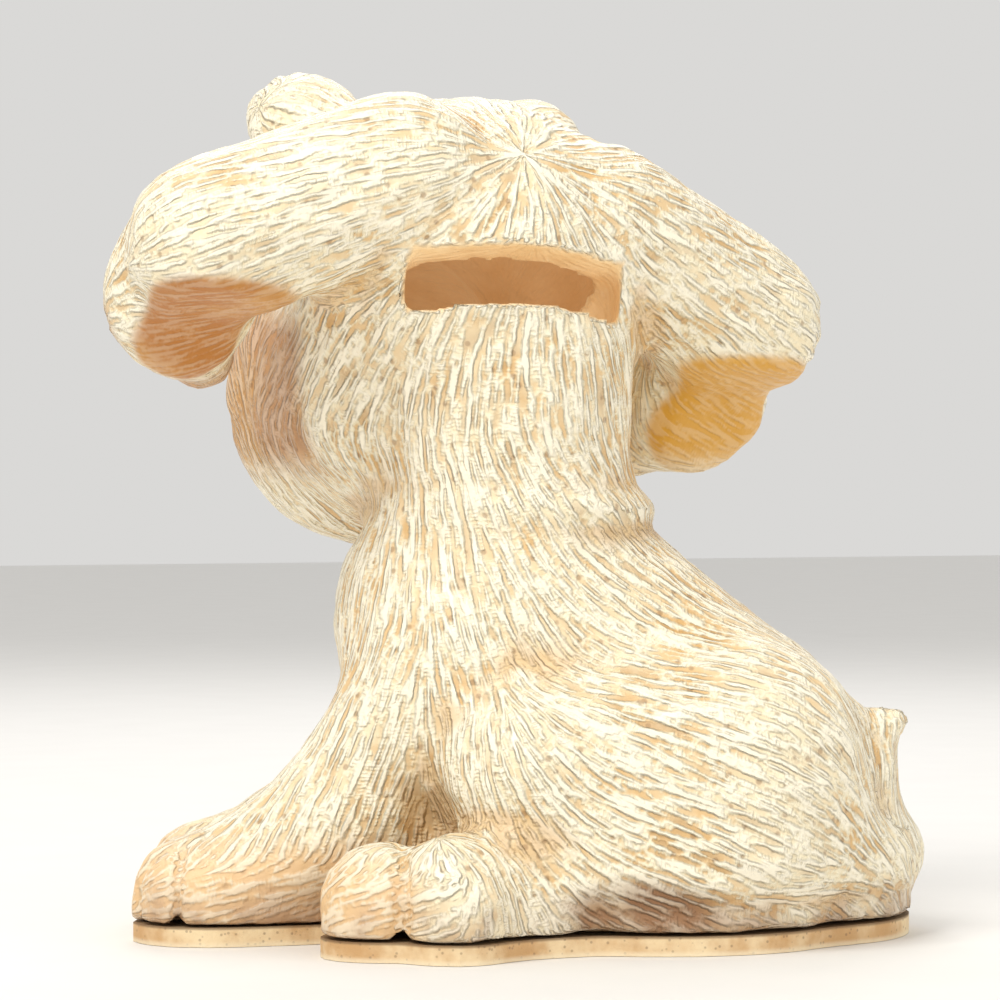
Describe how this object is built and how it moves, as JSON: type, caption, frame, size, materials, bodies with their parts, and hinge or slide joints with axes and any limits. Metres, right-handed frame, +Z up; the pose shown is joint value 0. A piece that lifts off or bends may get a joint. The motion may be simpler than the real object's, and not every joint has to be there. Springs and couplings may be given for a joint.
{
  "type": "figural animal coin bank",
  "caption": "Hollow sitting puppy money bank with a coin slot behind the head and a pull-out stopper underneath.",
  "frame": {"origin": "on the ground under the middle of the whole bank's bounding box", "axes": "+Z up, +Y the way the head faces, so the coin slot faces -Y; the body faces 66 degrees to the left of +Y"},
  "size_m": [0.1726, 0.1524, 0.185],
  "materials": {
    "painted_figure": "satin paint with an amber wash in the modelled fur",
    "base": "matt, stained",
    "stopper": "matt"
  },
  "bodies": {
    "figure": {"torso_casting": "painted_figure", "head_casting": "painted_figure", "left_ear": "painted_figure", "right_ear": "painted_figure", "tail": "painted_figure", "left_foreleg": "painted_figure", "right_foreleg": "painted_figure", "left_hind_foot": "painted_figure", "right_hind_foot": "painted_figure", "base_plate": "base"},
    "stopper": {"stopper": "stopper"}
  },
  "joints": [
    {"name": "stopper_pull", "type": "slide", "parent": "figure", "child": "stopper", "axis": [0, 0, -1], "range_m": [0, 0.016]}
  ]
}
